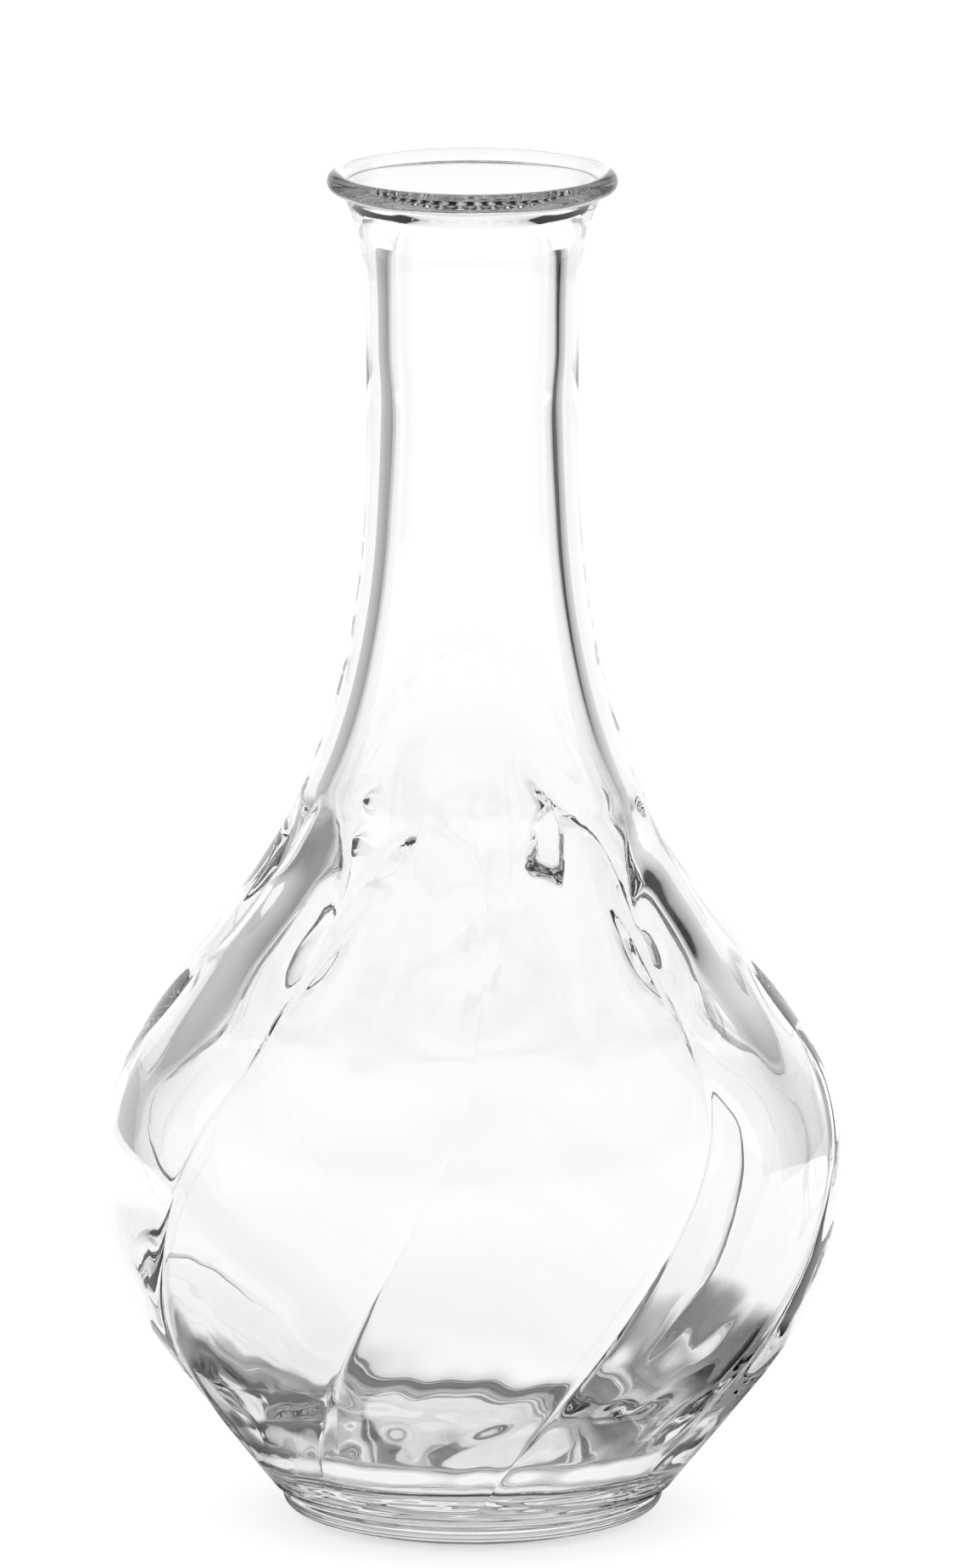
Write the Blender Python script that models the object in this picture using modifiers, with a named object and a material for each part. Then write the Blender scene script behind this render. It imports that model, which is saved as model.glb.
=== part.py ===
"""Clear glass bud vase: a beaded lip, a slim neck and a round bulb with twisted lobes.

The vase is one piece of glass. Its wall is an outline turned round the Z axis, and the lobes
are then pressed into the turned blank by a formula. Lengths are in metres and +Z is up. The
origin is the centre of the foot, on the surface that the vase stands on.
"""

import math
from collections import namedtuple

import bpy
from mathutils import Vector

MM = 0.001

# Neck, collar and beaded lip. The collar meets the bead at shares of the bead's diameter, in from
# its outer side and down from its top
HEIGHT = 170 * MM
NECK_RADIUS = 13.2 * MM
NECK_LENGTH = 11 * MM
COLLAR_HEIGHT = 22 * MM
LIP_FLARE = 4.8 * MM
BEAD_DIAMETER = 2.5 * MM
BEAD_STEP = 30
COLLAR_INSET = 0.8
COLLAR_DROP = 1.25
COLLAR_ANGLE = 27

# Bulb, from the shoulder's steepest point down to the heel, where its side turns straight
SHOULDER_RADIUS = 32.8 * MM
SHOULDER_HEIGHT = 74.5 * MM
SHOULDER_SLOPE = 39
BELLY_RADIUS = 46.4 * MM
BELLY_HEIGHT = 45.6 * MM
HEEL_RADIUS = 36.7 * MM
HEEL_HEIGHT = 18.4 * MM

# Foot, with the step under the bulb, the groove in it and the hollow inside its contact ring. The
# foot's side and the hollow meet the ring at these angles from upright
FOOT_RADIUS = 23.8 * MM
FOOT_HEIGHT = 3.1 * MM
FOOT_CHAMFER = 4.6 * MM
STEP_DEPTH = 1.4 * MM
GROOVE_DEPTH = 0.5 * MM
GROOVE_WIDTH = 1.2 * MM
CONTACT_WIDTH = 2.2 * MM
HOLLOW_HEIGHT = 1.2 * MM
SIDE_ANGLE = 63
HOLLOW_ANGLE = 72

# Glass thickness from the heel up to the neck. It swells at the shoulder, over the given lengths
# below and above it
HEEL_WALL = 4.8 * MM
FLANK_WALL = 3.9 * MM
FLANK_HEIGHT = 25 * MM
BELLY_WALL = 3.4 * MM
SHOULDER_WALL = 4.8 * MM
SWELL_BELOW = 6 * MM
SWELL_ABOVE = 9.5 * MM
FLARE_WALL = 3.4 * MM
NECK_WALL = 3 * MM

# The space inside, where it leaves the wall's line: a flat floor with a bend up to the wall, and
# a mouth that flares out from the bore. Angles are in degrees from upright
FLOOR_THICKNESS = 8.6 * MM
FLOOR_RADIUS = 21.5 * MM
FLOOR_BEND = 4.8 * MM
MOUTH_DEPTH = 8.5 * MM
THROAT_ANGLE = 15
MOUTH_ANGLE = 45

# Lobes. The creases between them turn as they go down, in degrees per metre and per metre
# squared, and one of them faces -Y at the crease height. Above it they turn at an even rate
LOBES = 8
CREASE_HEIGHT = 62 * MM
TWIST_RATE = 500
TWIST_GAIN = 4800
SHOULDER_TWIST = 220

# How deep the creases are outside: nothing at the foot, most on the shoulder and less on the
# belly, where the depth changes over a length below and above its height. A low power makes a
# crest sharp and a high one makes the crease sharp
FADE_LENGTH = 15.6 * MM
LOWER_CREASE_DEPTH = 1.2 * MM
BELLY_CREASE_DEPTH = 0.5 * MM
BELLY_BLEND = 10 * MM
SHOULDER_CREASE_DEPTH = 2.9 * MM
SHOULDER_CREASE_DROP = 4 * MM
LOWER_POWER = 2.1
SHOULDER_POWER = 1.4

# The lobes end above the shoulder in slanted, arched tips
TIP_RISE = 3.5 * MM
TIP_LENGTH = 14.4 * MM
TIP_SLANT = -2.7 * MM

# The lobes as the inside has them: only on the shoulder, and with tips that start lower
INSIDE_LEAD_DEPTH = 0.2 * MM
INSIDE_CREASE_DEPTH = 2.5 * MM
INSIDE_POWER = 2.5
INSIDE_TIP_DROP = 6.5 * MM
INSIDE_TIP_LENGTH = 15 * MM

# Facets, and how far a curve's handles reach as a share of the distance between its ends
SIDES_PER_LOBE = 8
AXIS_WELD = 0.01 * MM
EVEN_PULL = 1 / 3
FLARE_PULL = 0.38
FLOOR_PULL = 0.45
ROUND_PULL = 0.5

GLASS_COLOUR = (0.96, 0.98, 0.98, 1)
GLASS_ROUGHNESS = 0.02
GLASS_IOR = 1.52

# Places in the (radius, height) plane that several outlines share
OUT = Vector((1, 0))
UP = Vector((0, 1))
LIP_RADIUS = NECK_RADIUS + LIP_FLARE
NECK_TOP = Vector((NECK_RADIUS, HEIGHT - COLLAR_HEIGHT))
NECK_FOOT = NECK_TOP - UP * NECK_LENGTH
BULB_END = Vector((FOOT_RADIUS + STEP_DEPTH, FOOT_HEIGHT + GROOVE_WIDTH))
SWELL_START = SHOULDER_HEIGHT - SWELL_BELOW

# (height, value) pairs that smooth steps join, from the foot up
WALLS = (
    (FLOOR_THICKNESS, HEEL_WALL),
    (FLANK_HEIGHT, FLANK_WALL),
    (BELLY_HEIGHT, BELLY_WALL),
    (SWELL_START, BELLY_WALL),
    (SHOULDER_HEIGHT, SHOULDER_WALL),
    (SHOULDER_HEIGHT + SWELL_ABOVE, FLARE_WALL),
    (NECK_FOOT.y, NECK_WALL),
)

# How one side of the glass is pressed: crease depths and powers as such pairs, and the tips
Relief = namedtuple("Relief", "depths powers tip_base tip_length")
OUTSIDE = Relief(
    depths=(
        (BULB_END.y, 0),
        (BULB_END.y + FADE_LENGTH, LOWER_CREASE_DEPTH),
        (BELLY_HEIGHT - BELLY_BLEND, LOWER_CREASE_DEPTH),
        (BELLY_HEIGHT + BELLY_BLEND, BELLY_CREASE_DEPTH),
        (SHOULDER_HEIGHT - SHOULDER_CREASE_DROP, SHOULDER_CREASE_DEPTH),
    ),
    powers=((BELLY_HEIGHT, LOWER_POWER), (SWELL_START, SHOULDER_POWER)),
    tip_base=SHOULDER_HEIGHT + TIP_RISE,
    tip_length=TIP_LENGTH,
)
INSIDE = Relief(
    depths=((BELLY_HEIGHT, 0), (SWELL_START, INSIDE_LEAD_DEPTH), (SHOULDER_HEIGHT, INSIDE_CREASE_DEPTH)),
    powers=((BELLY_HEIGHT, INSIDE_POWER), (SHOULDER_HEIGHT, INSIDE_POWER)),
    tip_base=SHOULDER_HEIGHT - INSIDE_TIP_DROP,
    tip_length=INSIDE_TIP_LENGTH,
)


def curve(start, way_out, end, way_in, count, pull=EVEN_PULL):
    """Points along a cubic curve that leaves start and reaches end in the given directions.

    The last point is left out, because the next stretch starts with it.
    """
    reach = (end - start).length * pull
    controls = (start, start + way_out.normalized() * reach, end - way_in.normalized() * reach, end)
    points = []
    for step in range(count):
        t = step / count
        weights = ((1 - t) ** 3, 3 * t * (1 - t) ** 2, 3 * t * t * (1 - t), t**3)
        points.append(sum((w * c for w, c in zip(weights, controls)), Vector((0, 0))))
    return points


def straight(start, end, count):
    """Points along a straight stretch, without the last one."""
    return [start.lerp(end, step / count) for step in range(count)]


def smooth(share):
    """0 below 0, 1 above 1, and an even slope between."""
    share = min(max(share, 0), 1)
    return share * share * (3 - 2 * share)


def through(height, pairs):
    """The value at a height, from (height, value) pairs with smooth steps between them."""
    value = pairs[0][1]
    for (low, start), (high, end) in zip(pairs, pairs[1:]):
        if height > low:
            value = start + (end - start) * smooth((height - low) / (high - low))
    return value


def lean(angle):
    """Direction that leans outwards from upright by an angle in degrees."""
    return Vector((math.sin(math.radians(angle)), math.cos(math.radians(angle))))


def bulb_outline():
    """The outside from the neck's foot, over shoulder and belly, down to the foot's groove."""
    shoulder_way = -lean(-SHOULDER_SLOPE)
    shoulder = Vector((SHOULDER_RADIUS, SHOULDER_HEIGHT))
    belly = Vector((BELLY_RADIUS, BELLY_HEIGHT))
    heel = Vector((HEEL_RADIUS, HEEL_HEIGHT))
    return (
        curve(NECK_FOOT, -UP, shoulder, shoulder_way, 12, FLARE_PULL)
        + curve(shoulder, shoulder_way, belly, -UP, 7)
        + curve(belly, -UP, heel, BULB_END - heel, 6)
        + straight(heel, BULB_END, 4)
        + [BULB_END]
    )


def inset(outline):
    """An outline's inner points, moved in along its normals by the wall's thickness."""
    moved = []
    for before, point, after in zip(outline, outline[1:], outline[2:]):
        run = (after - before).normalized()
        moved.append(point + Vector((run.y, -run.x)) * through(point.y, WALLS))
    return moved


def inside_outline():
    """From the middle of the floor, up the inside of bulb and neck, to the lip's bead."""
    floor_middle = UP * FLOOR_THICKNESS
    floor_edge = floor_middle + OUT * FLOOR_RADIUS
    bend_top = FLOOR_THICKNESS + FLOOR_BEND
    wall = [point for point in reversed(inset(bulb_outline())) if point.y > bend_top]
    throat = Vector((NECK_RADIUS - NECK_WALL, HEIGHT - MOUTH_DEPTH))
    mouth = Vector((LIP_RADIUS - BEAD_DIAMETER, HEIGHT - BEAD_DIAMETER / 2))
    return (
        straight(floor_middle, floor_edge, 2)
        + curve(floor_edge, OUT, wall[0], wall[1] - wall[0], 5, FLOOR_PULL)
        + wall
        + straight(Vector((throat.x, NECK_FOOT.y)), throat, 2)
        + curve(throat, lean(THROAT_ANGLE), mouth, lean(MOUTH_ANGLE), 5)
    )


def bead_outline():
    """The rolled lip, from its inner side over the top to where the collar meets it."""
    radius = BEAD_DIAMETER / 2
    centre = Vector((LIP_RADIUS - radius, HEIGHT - radius))
    turns = [math.radians(angle) for angle in range(180, -91, -BEAD_STEP)]
    return [centre + Vector((math.cos(turn), math.sin(turn))) * radius for turn in turns]


def collar_outline():
    """The outside of the flared collar, from under the bead, and of the straight neck."""
    top = Vector((LIP_RADIUS - BEAD_DIAMETER * COLLAR_INSET, HEIGHT - BEAD_DIAMETER * COLLAR_DROP))
    flared = curve(top, -lean(COLLAR_ANGLE), NECK_TOP, -UP, 6)
    return flared + straight(NECK_TOP, NECK_FOOT, 2)


def foot_outline():
    """The groove, the rounded foot, its flat contact ring and the hollow under it."""
    groove = Vector((FOOT_RADIUS - GROOVE_DEPTH, FOOT_HEIGHT + GROOVE_WIDTH / 2))
    foot = Vector((FOOT_RADIUS, FOOT_HEIGHT))
    ring_outside = OUT * (FOOT_RADIUS - FOOT_CHAMFER)
    ring_inside = ring_outside - OUT * CONTACT_WIDTH
    hollow = UP * HOLLOW_HEIGHT
    return (
        [groove]
        + curve(foot, -UP, ring_outside, -lean(SIDE_ANGLE), 4, ROUND_PULL)
        + [ring_outside]
        + curve(ring_inside, lean(-HOLLOW_ANGLE), hollow, -OUT, 4)
        + [hollow]
    )


def twist(height):
    """Angle in radians that the creases have turned through at a height."""
    fall = CREASE_HEIGHT - min(max(height, FOOT_HEIGHT), OUTSIDE.tip_base + OUTSIDE.tip_length)
    rate = TWIST_RATE + TWIST_GAIN * fall if fall > 0 else SHOULDER_TWIST
    return -math.radians(rate * fall)


def crease_press(across, height, relief):
    """How deep the glass is pressed at a point.

    across runs from -1 at the crease on one side of a lobe to 1 at the next. Above the tip's
    base each lobe narrows to a slanted arch, and the land round the arches rises to meet them.
    """
    over_base = height - relief.tip_base
    tip = max((over_base + TIP_SLANT * across) / relief.tip_length, 0)
    rise = max(1 - abs(across) ** through(height, relief.powers) - tip * tip, 0)
    land = 1 - min(max(over_base / relief.tip_length, 0), 1) ** 2
    return (land - rise) * through(height, relief.depths)


def press_lobes(mesh, outside_group):
    """Turns the blank's rings into the twist, and presses the creases between the lobes."""
    pitch = 2 * math.pi / LOBES
    for vertex in mesh.vertices:
        radius = math.hypot(vertex.co.x, vertex.co.y)
        if radius < AXIS_WELD:
            continue
        angle = math.atan2(vertex.co.y, vertex.co.x)
        across = 2 * ((angle + math.pi / 2) / pitch % 1) - 1
        outside = any(weight.group == outside_group for weight in vertex.groups)
        press = crease_press(across, vertex.co.z, OUTSIDE if outside else INSIDE)
        turned = angle + twist(vertex.co.z)
        vertex.co.x = (radius - press) * math.cos(turned)
        vertex.co.y = (radius - press) * math.sin(turned)


def glass_material():
    material = bpy.data.materials.new("clear_glass")
    material.use_nodes = True
    shader = material.node_tree.nodes["Principled BSDF"]
    shader.inputs["Base Color"].default_value = GLASS_COLOUR
    shader.inputs["Roughness"].default_value = GLASS_ROUGHNESS
    shader.inputs["Metallic"].default_value = 0
    shader.inputs["IOR"].default_value = GLASS_IOR
    shader.inputs["Transmission Weight"].default_value = 1
    return material


def turned_blank(collection):
    """The vase before its lobes: the outline, turned round the Z axis by a Screw modifier."""
    inside = inside_outline() + bead_outline()
    outline = inside + collar_outline() + bulb_outline() + foot_outline()
    mesh = bpy.data.meshes.new("blank")
    mesh.from_pydata([(p.x, 0, p.y) for p in outline], [(i, i + 1) for i in range(len(outline) - 1)], [])
    blank = bpy.data.objects.new("blank", mesh)
    collection.objects.link(blank)
    outside = blank.vertex_groups.new(name="outside")
    outside.add(range(len(inside), len(outline)), 1, "REPLACE")
    screw = blank.modifiers.new("Turn", "SCREW")
    screw.axis = "Z"
    screw.steps = LOBES * SIDES_PER_LOBE
    screw.render_steps = screw.steps
    screw.use_merge_vertices = True
    screw.merge_threshold = AXIS_WELD
    return blank, outside.index


def glass_vase(collection):
    blank, outside_group = turned_blank(collection)
    evaluated = blank.evaluated_get(bpy.context.evaluated_depsgraph_get())
    mesh = bpy.data.meshes.new_from_object(evaluated)
    bpy.data.objects.remove(blank)
    press_lobes(mesh, outside_group)
    mesh.name = "glass_vase"
    mesh.materials.append(glass_material())
    mesh.shade_smooth()
    collection.objects.link(bpy.data.objects.new("glass_vase", mesh))


def main():
    for existing in list(bpy.data.objects):
        bpy.data.objects.remove(existing)
    collection = bpy.data.collections.new("bud_vase")
    bpy.context.scene.collection.children.link(collection)
    glass_vase(collection)


main()
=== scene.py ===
# Clear glass bud vase with eight twisted lobes, on a plain white studio floor.
import math

import bpy
import numpy as np
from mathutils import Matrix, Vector, noise


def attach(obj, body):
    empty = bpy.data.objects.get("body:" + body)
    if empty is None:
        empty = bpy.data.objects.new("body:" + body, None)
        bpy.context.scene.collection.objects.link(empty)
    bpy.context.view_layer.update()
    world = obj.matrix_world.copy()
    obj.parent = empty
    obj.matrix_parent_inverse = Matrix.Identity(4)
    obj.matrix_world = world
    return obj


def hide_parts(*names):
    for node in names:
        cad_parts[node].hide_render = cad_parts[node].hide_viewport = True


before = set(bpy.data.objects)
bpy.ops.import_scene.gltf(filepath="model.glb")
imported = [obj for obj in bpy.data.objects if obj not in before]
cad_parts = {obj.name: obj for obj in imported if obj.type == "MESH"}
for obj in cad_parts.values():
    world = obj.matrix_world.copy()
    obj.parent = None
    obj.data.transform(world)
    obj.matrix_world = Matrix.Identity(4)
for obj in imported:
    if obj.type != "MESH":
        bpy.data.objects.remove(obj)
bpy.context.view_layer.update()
print("frame loaded:", ", ".join(sorted(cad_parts)))

mm = 0.001
scene = bpy.context.scene
scene.view_settings.view_transform = "Standard"
# light turns many times inside the lip and the foot before it leaves them
scene.cycles.max_bounces = 40
scene.cycles.transmission_bounces = 40
scene.cycles.glossy_bounces = 20

# camera at the photograph's angle
camera = {
    "elevation": 11.75,   # degrees above the point it looks at
    "distance": 2600,     # mm
    "aim": (2.05, 92.6),  # mm to the right of the axis, and up
    "lens": 480,          # mm, and so are the next two
    "film": 36,
    "clipStart": 10,
}


def makeCamera(c):
    data = bpy.data.cameras.new("Camera")
    data.lens = c["lens"]
    data.sensor_fit = "VERTICAL"
    data.sensor_height = c["film"]
    data.clip_start = c["clipStart"] * mm
    obj = bpy.data.objects.new("Camera", data)
    scene.collection.objects.link(obj)
    tilt = math.radians(c["elevation"])
    side, up = c["aim"]
    back, rise = c["distance"] * math.cos(tilt), c["distance"] * math.sin(tilt)
    obj.location = Vector((side, -back, up + rise)) * mm
    obj.rotation_euler = (math.pi / 2 - tilt, 0, 0)
    scene.camera = obj


makeCamera(camera)
print("camera placed")

# the glass: sizes in mm, angles in degrees from upright, and points as (radius, height)
vase = {
    "height": 170,
    "neckRadius": 13.2,
    "neckLength": 11,           # the straight stretch under the collar
    "lipFlare": 4.8,
    "bead": 2.5,
    "collarHeight": 22,         # from the top of the lip
    "collarJoin": (0.8, 1.25),  # where it meets the bead, in bead widths from the lip's edge and top
    "collarAngle": 27,          # of the collar there
    "shoulder": (32.8, 74.5),
    "shoulderSlope": 39,
    "shoulderPull": 0.38,       # how far the neck and the shoulder hold their directions, as a share
    "belly": (46.37, 45.6),
    "heel": (36.7, 18.4),
    "foot": (23.8, 3.1),
    "footChamfer": 4.6,
    "footPull": 0.5,
    "landingWay": (-1, -0.5),   # direction in which the foot's outside reaches the table
    "stepDepth": 1.4,
    "grooveDepth": 0.4,
    "grooveWidth": 1.2,
    "contactWidth": 2.2,
    "hollowHeight": 1.2,
    "hollowWay": (-3, 1),       # direction in which the hollow leaves the table
    # wall thickness by height
    "wall": [(10, 5.2), (25, 4.3), (50, 3.6), (60, 3.6), (74, 4.2), (80, 3.8), (95, 3.3), (112, 3.0),
             (126, 3.0), (138, 3.25), (148, 2.8), (161, 2.9)],
    "floorThickness": 8.6,
    "floorRadius": 21.5,
    "floorBend": 4.8,
    "floorPull": 0.45,
    "mouthDepth": 8.4,
    "throatAngle": 15,          # where the bore starts to flare
    "mouthAngle": 58,           # and where it meets the lip
    "lobes": {
        "count": 8,
        "frontHeight": 62,      # height where a crease faces the camera
        "twistRate": 0.5,       # degrees per mm below that height
        "twistGain": 0.0048,    # and degrees per mm squared
        "shoulderTwist": 0.22,
        # where the lobes end in tips, how sharp the creases between them are, and how deep by height
        "outside": {
            "tipStart": 78, "tipLength": 14.4, "tipSlant": -2.7,
            "sharpness": [(45, 2.1), (64, 1.4)],
            "depth": [(4.4, 0), (12, 0.25), (20, 1.1), (35, 1.2), (55, 0.5), (68, 2.9), (100, 2.9)]},
        "inside": {
            "tipStart": 68, "tipLength": 15, "tipSlant": -2.7,
            "sharpness": [(45, 2.1), (70, 2.5)],
            "depth": [(12, 0), (20, 0.3), (35, 0.05), (64, 0.2), (74, 2.5), (100, 2.5)]},
    },
    # a fine fold runs down each crease: its depth by height, and how crisp each one came out
    "fold": {
        "width": 0.35,
        "depth": [(4.4, 0), (14, 0.12), (22, 0.3), (30, 0.3), (45, 0.1), (60, 0.1), (66, 0.25), (76, 0)],
        "crispness": (1, 1, 1, 1, 0.2, 0.2, 0.2, 1),
    },
    # uneven glass: size of the waves across the lobes and along them, and their depth by height
    "ripples": [
        {"across": 11, "along": 26,
         "inside": [(8.6, 0.1), (60, 0.05), (80, 0.1), (100, 0.03), (165, 0.02)],
         "outside": [(4.4, 0), (20, 0.04), (90, 0.04), (110, 0.01), (160, 0)]},
        {"across": 4, "along": 12,
         "inside": [(8.6, 0.14), (22, 0.1), (45, 0.01), (75, 0.03), (95, 0.01), (110, 0)],
         "outside": [(4.4, 0), (12, 0.02), (40, 0)]},
        {"across": 7, "along": 3,
         "inside": [(165.5, 0), (168.5, 0.08)],
         "outside": [(165.5, 0), (168.5, 0.08)]},
    ],
    "sidesPerLobe": 40,
    # rings of the mesh along each stretch of the outline
    "rings": {"floor": 24, "floorBend": 20, "bore": 24, "mouth": 32, "bead": 36, "collar": 32, "neck": 12,
              "flare": 48, "shoulder": 32, "flank": 32, "heel": 20, "chamfer": 16, "hollow": 24},
}
# directions in the (radius, height) plane
outward = np.array((1, 0))
upward = np.array((0, 1))


def addMesh(name, points, faces):
    data = bpy.data.meshes.new(name)
    data.from_pydata(points, [], faces)
    obj = bpy.data.objects.new(name, data)
    scene.collection.objects.link(obj)
    return obj


def unit(way):
    return np.array(way, float) / np.linalg.norm(way)


def units(ways):
    return ways / np.linalg.norm(ways, axis=1)[:, None]


def lean(degrees):
    # direction that leans from upright towards the outside
    return np.array((math.sin(math.radians(degrees)), math.cos(math.radians(degrees))))


def bend(start, startWay, end, endWay, count, pull=1 / 3):
    # smooth curve between two points that leaves and arrives in the given directions
    a, b = np.array(start, float), np.array(end, float)
    reach = np.linalg.norm(b - a) * pull
    c, d = a + unit(startWay) * reach, b - unit(endWay) * reach
    t = (np.arange(count) / count)[:, None]
    return (1 - t) ** 3 * a + 3 * t * (1 - t) ** 2 * c + 3 * t * t * (1 - t) * d + t ** 3 * b


def straight(start, end, count):
    a, b = np.array(start, float), np.array(end, float)
    return a + (b - a) * (np.arange(count) / count)[:, None]


def soft(x):
    x = np.clip(x, 0, 1)
    return x * x * (3 - 2 * x)


def blendTable(z, table):
    # smooth steps through (height, value) pairs
    heights, values = np.array(table, float).T
    i = np.clip(np.searchsorted(heights, z, side="right") - 1, 0, len(heights) - 2)
    t = soft((z - heights[i]) / (heights[i + 1] - heights[i]))
    return values[i] + (values[i + 1] - values[i]) * t


def lipRadius(v):
    return v["neckRadius"] + v["lipFlare"]


def neckFoot(v):
    return np.array((v["neckRadius"], v["height"] - v["collarHeight"] - v["neckLength"]))


def beadLine(v):
    # the lip's round bead, from the inside over the top
    centre = np.array((lipRadius(v) - v["bead"] / 2, v["height"] - v["bead"] / 2))
    a = np.radians(np.linspace(180, -90, v["rings"]["bead"] + 1))
    return centre + np.c_[np.cos(a), np.sin(a)] * v["bead"] / 2


def collarLine(v):
    # from the bead down to the neck's foot
    inset, drop = v["collarJoin"]
    top = (lipRadius(v) - v["bead"] * inset, v["height"] - v["bead"] * drop)
    end = (v["neckRadius"], v["height"] - v["collarHeight"])
    return np.vstack([
        bend(top, -lean(v["collarAngle"]), end, -upward, v["rings"]["collar"]),
        straight(end, neckFoot(v), v["rings"]["neck"])])


def bulbLine(v):
    # the outside from the neck's foot down to the groove above the foot
    rings = v["rings"]
    slope = math.radians(v["shoulderSlope"])
    way = (math.sin(slope), -math.cos(slope))
    end = np.array(v["foot"]) + (v["stepDepth"], v["grooveWidth"])
    return np.vstack([
        bend(neckFoot(v), -upward, v["shoulder"], way, rings["flare"], v["shoulderPull"]),
        bend(v["shoulder"], way, v["belly"], -upward, rings["shoulder"]),
        bend(v["belly"], -upward, v["heel"], end - v["heel"], rings["flank"]),
        straight(v["heel"], end, rings["heel"]), [end]])


def footLine(v):
    # from the groove round the foot to the middle of the hollow under it
    radius, height = v["foot"]
    groove = (radius - v["grooveDepth"], height + v["grooveWidth"] / 2)
    outer = (radius - v["footChamfer"], 0)
    inner = (outer[0] - v["contactWidth"], 0)
    middle = (0, v["hollowHeight"])
    return np.vstack([
        [groove],
        bend(v["foot"], -upward, outer, v["landingWay"], v["rings"]["chamfer"], v["footPull"]), [outer],
        bend(inner, v["hollowWay"], middle, -outward, v["rings"]["hollow"]), [middle]])


def insideLine(v):
    # from the middle of the floor up to the lip
    rings = v["rings"]
    bulb = bulbLine(v)
    run = units(bulb[2:] - bulb[:-2])
    inward = np.c_[run[:, 1], -run[:, 0]]
    wall = bulb[1:-1] + inward * blendTable(bulb[1:-1, 1], v["wall"])[:, None]
    wall = wall[::-1]
    wall = wall[wall[:, 1] > v["floorThickness"] + v["floorBend"]]
    throatHeight = v["height"] - v["mouthDepth"]
    z = np.linspace(neckFoot(v)[1], throatHeight, rings["bore"], endpoint=False)
    bore = np.c_[v["neckRadius"] - blendTable(z, v["wall"]), z]
    throat = (v["neckRadius"] - blendTable(np.array(throatHeight), v["wall"]), throatHeight)
    mouth = (lipRadius(v) - v["bead"], v["height"] - v["bead"] / 2)
    edge = (v["floorRadius"], v["floorThickness"])
    return np.vstack([
        straight((0, v["floorThickness"]), edge, rings["floor"]),
        bend(edge, outward, wall[0], wall[1] - wall[0], rings["floorBend"], v["floorPull"]),
        wall, bore,
        bend(throat, lean(v["throatAngle"]), mouth, lean(v["mouthAngle"]), rings["mouth"])])


def twist(v, z):
    # turn of a ring, in radians: slow on the shoulder, and faster and faster towards the foot
    c = v["lobes"]
    top = c["outside"]["tipStart"] + c["outside"]["tipLength"]
    fall = c["frontHeight"] - np.clip(z, v["foot"][1], top)
    below = fall * (c["twistRate"] + c["twistGain"] * fall)
    return -np.radians(np.where(fall > 0, below, fall * c["shoulderTwist"]))


def creasePress(c, across, z):
    # how far the surface sinks between the crests; across runs from -1 to 1 over a lobe
    tip = np.maximum((z - c["tipStart"] + c["tipSlant"] * across) / c["tipLength"], 0)
    rise = np.maximum(1 - np.abs(across) ** blendTable(z, c["sharpness"]) - tip ** 2, 0)
    land = 1 - np.clip((z - c["tipStart"]) / c["tipLength"], 0, 1) ** 2
    return blendTable(z, c["depth"]) * (land - rise)


def foldPress(v, lobe, across, radius, z):
    # across is 1 or -1 at a crease
    fold, count = v["fold"], v["lobes"]["count"]
    away = (1 - np.abs(across)) * radius * math.pi / count
    crispness = np.array(fold["crispness"])[(lobe + (across > 0)) % count]
    return blendTable(z, fold["depth"]) * crispness * np.exp(-away / fold["width"])


def uneven(ripples, x, y, z, outer):
    # how far the surface swells, in mm
    total = np.zeros_like(z)
    for r in ripples:
        spots = np.stack([x / r["across"], y / r["across"], z / r["along"]], -1).reshape(-1, 3)
        depth = np.where(outer, blendTable(z, r["outside"]), blendTable(z, r["inside"]))
        total += depth * np.array([noise.noise(spot) for spot in spots.tolist()]).reshape(z.shape)
    return total


def glassRings(v):
    # rings of points in mm, from the middle of the floor up, over the lip and down to the foot's middle
    inside = np.vstack([insideLine(v), beadLine(v)])
    line = np.vstack([inside, collarLine(v), bulbLine(v), footLine(v)])
    outer = (np.arange(len(line)) >= len(inside))[:, None]
    run = units(np.gradient(line, axis=0))
    lobes, sides = v["lobes"], v["sidesPerLobe"]
    step = np.arange(sides * lobes["count"])
    # columns lie closer together towards the creases
    across = np.sin((2 * (step % sides) / sides - 1) * math.pi / 2)
    angle = -math.pi / 2 + (step // sides + (across + 1) / 2) * 2 * math.pi / lobes["count"]
    radius = line[:, :1]
    z = np.repeat(line[:, 1:], len(step), axis=1)
    outerPress = creasePress(lobes["outside"], across, z) + foldPress(v, step // sides, across, radius, z)
    press = np.where(outer, outerPress, creasePress(lobes["inside"], across, z))
    swell = uneven(v["ripples"], radius * np.cos(angle), radius * np.sin(angle), z, outer)
    out = np.maximum(radius - press - swell * run[:, 1:], 0)
    up = np.minimum(z + swell * run[:, :1], v["height"])
    turn = angle + twist(v, z)
    return np.stack([out * np.cos(turn), out * np.sin(turn), up], -1)


def makeGlass(v):
    rings = glassRings(v)
    count = rings.shape[1]
    # the first ring and the last lie on the axis, so each is one point
    first, last = (0, 0, rings[0, 0, 2]), (0, 0, rings[-1, 0, 2])
    points = np.vstack([[first], rings[1:-1].reshape(-1, 3), [last]]) * mm
    starts = [1 + i * count for i in range(len(rings) - 2)]
    around = [(j, (j + 1) % count) for j in range(count)]
    faces = [(low + a, high + a, high + b, low + b)
             for low, high in zip(starts, starts[1:]) for a, b in around]
    faces += [(0, starts[0] + a, starts[0] + b) for a, b in around]
    faces += [(len(points) - 1, starts[-1] + b, starts[-1] + a) for a, b in around]
    obj = addMesh("glassVase", points.tolist(), faces)
    obj.data.shade_smooth()
    return obj


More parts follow.
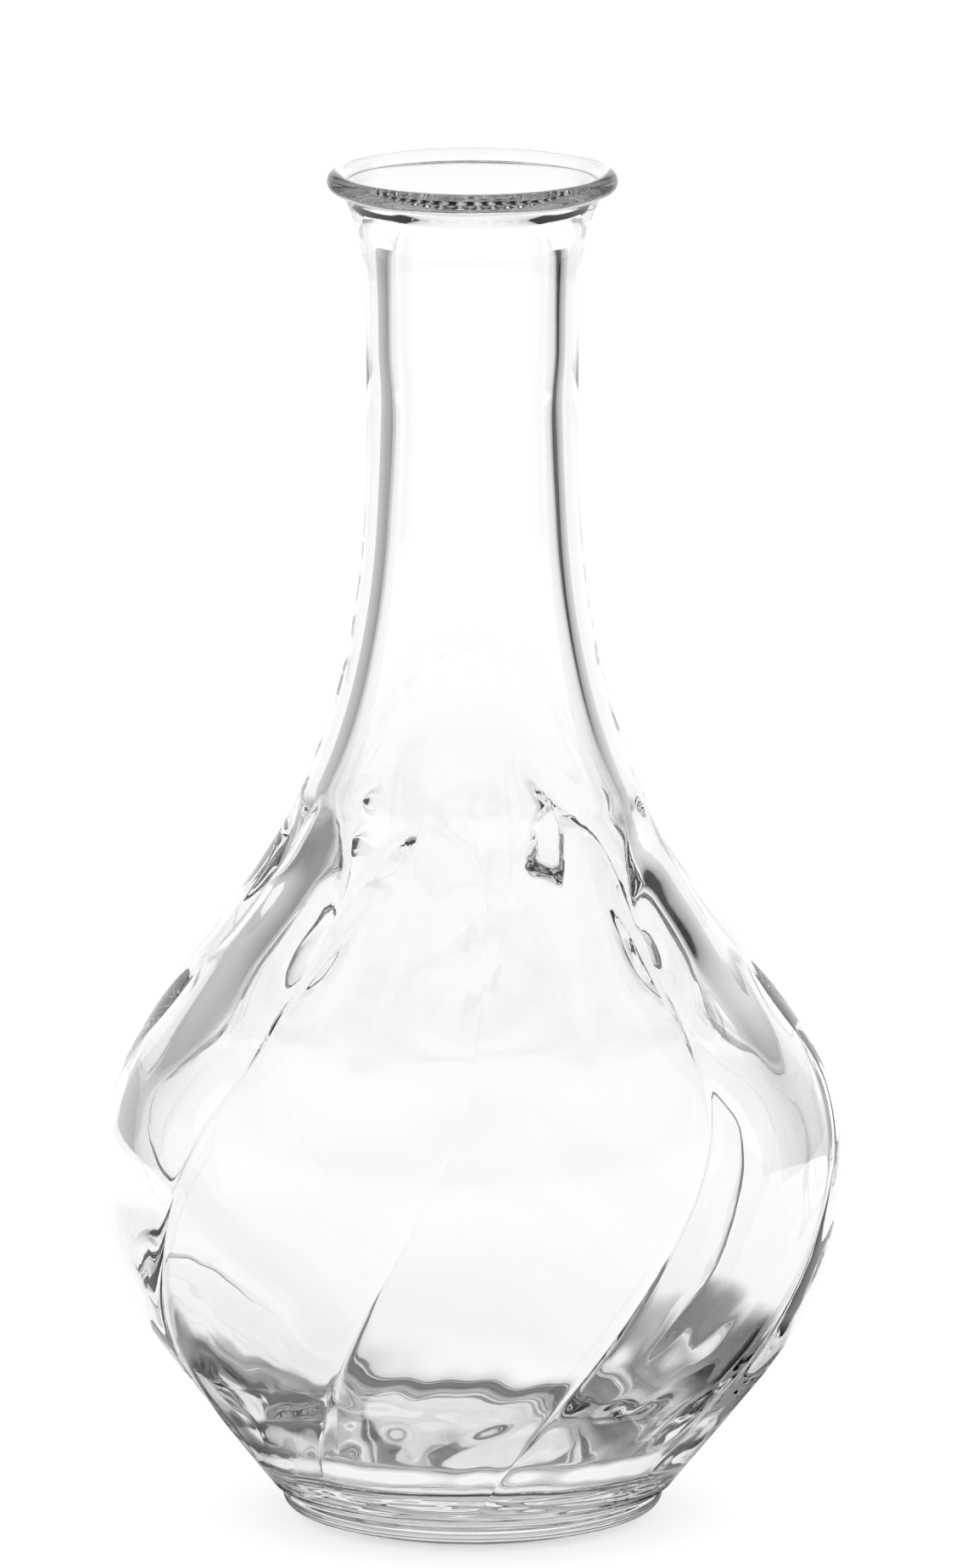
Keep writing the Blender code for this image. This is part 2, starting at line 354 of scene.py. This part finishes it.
# clear soda glass: a breath of grey, faint smears and a fire-polished skin that isn't quite level
glassLook = {
    "ior": 1.5,
    "tint": [(0.3, 0.984), (0.7, 0.998)],   # tone by the noise's value
    "smearRoughness": 0.012,
    "smearLimits": (0.5, 0.75),             # the noise's values where a smear starts and where it is full
    "waveHeight": 0.0012,                   # mm
    # size in mm of what each noise draws, and its detail
    "noise": {"tint": (34, 2), "smear": (16, 4), "wave": (1.7, 1)},
}


def link(tree, source, target):
    tree.links.new(source, target)


def addMath(tree, operation, first, second=None):
    node = tree.nodes.new("ShaderNodeMath")
    node.operation = operation
    for socket, value in zip(node.inputs, (first, second)):
        if isinstance(value, (int, float)):
            socket.default_value = value
        elif value is not None:
            link(tree, value, socket)
    return node.outputs[0]


def addRamp(tree, value, stops):
    node = tree.nodes.new("ShaderNodeValToRGB")
    ramp = node.color_ramp
    while len(ramp.elements) < len(stops):
        ramp.elements.new(0.5)
    for element, (place, tone) in zip(ramp.elements, stops):
        element.position = place
        element.color = (tone, tone, tone, 1)
    link(tree, value, node.inputs[0])
    return node.outputs[0]


def addFade(tree, value, start, end):
    # 0 at start and 1 at end
    node = tree.nodes.new("ShaderNodeMapRange")
    node.interpolation_type = "SMOOTHSTEP"
    link(tree, value, node.inputs["Value"])
    low, high, first, last = (start, end, 0, 1) if start < end else (end, start, 1, 0)
    for socket, number in (("From Min", low), ("From Max", high), ("To Min", first), ("To Max", last)):
        node.inputs[socket].default_value = number
    return node.outputs["Result"]


def addNoise(tree, place, size, detail):
    node = tree.nodes.new("ShaderNodeTexNoise")
    node.inputs["Scale"].default_value = 1 / (size * mm)
    node.inputs["Detail"].default_value = detail
    link(tree, place, node.inputs["Vector"])
    return node.outputs["Fac"]


def makeGlassMaterial(g):
    material = bpy.data.materials.new("clearGlass")
    material.use_nodes = True
    tree = material.node_tree
    shader = tree.nodes["Principled BSDF"]
    shader.inputs["IOR"].default_value = g["ior"]
    shader.inputs["Transmission Weight"].default_value = 1
    place = tree.nodes.new("ShaderNodeTexCoord").outputs["Object"]
    tint, smear, wave = (addNoise(tree, place, *g["noise"][name]) for name in ("tint", "smear", "wave"))
    link(tree, addRamp(tree, tint, g["tint"]), shader.inputs["Base Color"])
    smeared = addFade(tree, smear, *g["smearLimits"])
    link(tree, addMath(tree, "MULTIPLY", smeared, g["smearRoughness"]), shader.inputs["Roughness"])
    bump = tree.nodes.new("ShaderNodeBump")
    bump.inputs["Distance"].default_value = g["waveHeight"] * mm
    link(tree, wave, bump.inputs["Height"])
    link(tree, bump.outputs["Normal"], shader.inputs["Normal"])
    return material


glass = makeGlass(vase)
glass.data.materials.append(makeGlassMaterial(glassLook))
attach(glass, "root")
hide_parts("glass_vase")
print("glass:", len(glass.data.polygons), "faces")

# studio: white all round, with toned cards near the glass and patches of painted shade and light on the
# floor by the foot, that only the glass sees; sizes in m
studio = {
    "floorSize": 12,
    "floorLevel": -0.0002,
    "floorTone": 0.8,
    "floorGlow": {"seen": 0.55, "inGlass": 0.25},
    # tone of the surroundings by degrees above the floor
    "sky": [(10, 1), (18, 0.43), (45, 0.6), (90, 0.1)],
    "cardDistance": 0.4,    # from the axis
    "cardHeight": 0.45,
    "cardFade": 0.004,      # height over which a card fades in
    "cardColumns": 24,
    # tone by degrees from straight behind
    "cards": {
        "cardLeft": [(-76, 0.25), (-58, 0.28), (-52, 0.36), (-44, 0.48), (-34, 0.62)],
        "cardRight": [(37, 0.8), (44, 0.6), (51, 0.34), (53, 0.01), (76, 0.01)],
    },
    "patchLevel": 0.0001,
    # soft patches of painted shade, painted shadow and painted light on the floor: centre, half size and
    # tone, and as shares of the half size where the outer edge starts to fade out and between which the
    # rim of a hole in the middle fades in
    "patches": {
        # painted shade: near-black patches on the floor beside the foot, where the belly's shade falls
        "paintedShadeLeftOfFoot": {"centre": (-0.0425, 0.009), "half": (0.0183, 0.033), "tone": 0.07, "edge": 0.6},
        "paintedShadeRightOfFoot": {"centre": (0.050, 0.016), "half": (0.026, 0.043), "tone": 0.01, "edge": 0.6},
        # painted shadow: a dark ring round the foot where its contact shadow falls
        "paintedShadowRingRoundFoot": {"centre": (0, 0), "half": (0.03, 0.03), "tone": 0.02, "edge": 0.86,
                     "hole": (0.58, 0.66)},
        # painted light: a pale disc under the foot that covers the floor's shadow there
        "paintedLightUnderFoot": {"centre": (0, 0), "half": (0.0155, 0.0155), "tone": 0.9, "edge": 0.9},
    },
}


def makeSky(s):
    world = bpy.data.worlds.new("World")
    scene.world = world
    world.use_nodes = True
    tree = world.node_tree
    place = tree.nodes.new("ShaderNodeTexCoord")
    split = tree.nodes.new("ShaderNodeSeparateXYZ")
    link(tree, place.outputs["Generated"], split.inputs[0])
    rise = addMath(tree, "DIVIDE", addMath(tree, "ARCSINE", split.outputs["Z"]), math.pi / 2)
    ceiling = addRamp(tree, rise, [(height / 90, tone) for height, tone in s["sky"]])
    path = tree.nodes.new("ShaderNodeLightPath")
    plain = addMath(tree, "MAXIMUM", path.outputs["Is Camera Ray"], path.outputs["Is Diffuse Ray"])
    link(tree, addMath(tree, "MAXIMUM", ceiling, plain), tree.nodes["Background"].inputs["Color"])


def makeFloor(s):
    bpy.ops.mesh.primitive_plane_add(size=s["floorSize"], location=(0, 0, s["floorLevel"]))
    floor = bpy.context.object
    floor.name = "studioFloor"
    material = bpy.data.materials.new("whiteFloor")
    material.use_nodes = True
    tree = material.node_tree
    shader = tree.nodes["Principled BSDF"]
    shader.inputs["Base Color"].default_value = (*[s["floorTone"]] * 3, 1)
    shader.inputs["Roughness"].default_value = 1
    shader.inputs["Specular IOR Level"].default_value = 0
    path = tree.nodes.new("ShaderNodeLightPath").outputs
    seen = addMath(tree, "MULTIPLY", path["Is Camera Ray"], s["floorGlow"]["seen"])
    glassRay = addMath(tree, "MAXIMUM", path["Is Glossy Ray"], path["Is Transmission Ray"])
    inGlass = addMath(tree, "MULTIPLY", glassRay, s["floorGlow"]["inGlass"])
    link(tree, addMath(tree, "ADD", seen, inGlass), shader.inputs["Emission Strength"])
    shader.inputs["Emission Color"].default_value = (1, 1, 1, 1)
    floor.data.materials.append(material)


def finishCard(obj, colour):
    # a glowing card, or a floor patch of painted shade or light, that is seen only in the glass;
    # colour(tree) gives its tone and its cover
    material = bpy.data.materials.new(obj.name)
    material.use_nodes = True
    tree = material.node_tree
    tree.nodes.remove(tree.nodes["Principled BSDF"])
    glow = tree.nodes.new("ShaderNodeEmission")
    tone, cover = colour(tree)
    if isinstance(tone, float):
        glow.inputs["Color"].default_value = (tone, tone, tone, 1)
    else:
        link(tree, tone, glow.inputs["Color"])
    mix = tree.nodes.new("ShaderNodeMixShader")
    link(tree, cover, mix.inputs[0])
    link(tree, tree.nodes.new("ShaderNodeBsdfTransparent").outputs[0], mix.inputs[1])
    link(tree, glow.outputs[0], mix.inputs[2])
    link(tree, mix.outputs[0], tree.nodes["Material Output"].inputs["Surface"])
    obj.data.materials.append(material)
    obj.visible_camera = False
    obj.visible_diffuse = False
    obj.visible_shadow = False


def makeCard(name, stops, s):
    # an upright strip, bent round the vase
    points = []
    for a in np.radians(np.linspace(stops[0][0], stops[-1][0], s["cardColumns"])):
        x, y = s["cardDistance"] * math.sin(a), s["cardDistance"] * math.cos(a)
        points += [(x, y, 0), (x, y, s["cardHeight"])]
    faces = [(2 * i, 2 * i + 2, 2 * i + 3, 2 * i + 1) for i in range(s["cardColumns"] - 1)]

    def colour(tree):
        place = tree.nodes.new("ShaderNodeTexCoord")
        split = tree.nodes.new("ShaderNodeSeparateXYZ")
        link(tree, place.outputs["Object"], split.inputs[0])
        azimuth = addMath(tree, "ARCTAN2", split.outputs["X"], split.outputs["Y"])
        share = addMath(tree, "ADD", addMath(tree, "DIVIDE", azimuth, 2 * math.pi), 0.5)
        tone = addRamp(tree, share, [(a / 360 + 0.5, t) for a, t in stops])
        return tone, addFade(tree, split.outputs["Z"], 0, s["cardFade"])
    finishCard(addMesh(name, points, faces), colour)


# a soft floor patch of painted shade or painted light, seen only in the glass
def makePatch(name, p, level):
    bpy.ops.mesh.primitive_plane_add(size=2, location=(*p["centre"], level))
    obj = bpy.context.object
    obj.name = name
    obj.scale = (*p["half"], 1)

    def colour(tree):
        place = tree.nodes.new("ShaderNodeTexCoord")
        length = tree.nodes.new("ShaderNodeVectorMath")
        length.operation = "LENGTH"
        link(tree, place.outputs["Object"], length.inputs[0])
        out = length.outputs["Value"]
        cover = addFade(tree, out, 1, p["edge"])
        if "hole" in p:
            cover = addMath(tree, "MULTIPLY", cover, addFade(tree, out, *p["hole"]))
        return p["tone"], cover
    finishCard(obj, colour)


makeSky(studio)
makeFloor(studio)
for name, stops in studio["cards"].items():
    makeCard(name, stops, studio)
# painted shade, a painted shadow and painted light on the floor round the foot
for name, patch in studio["patches"].items():
    makePatch(name, patch, studio["patchLevel"])
print("studio ready")
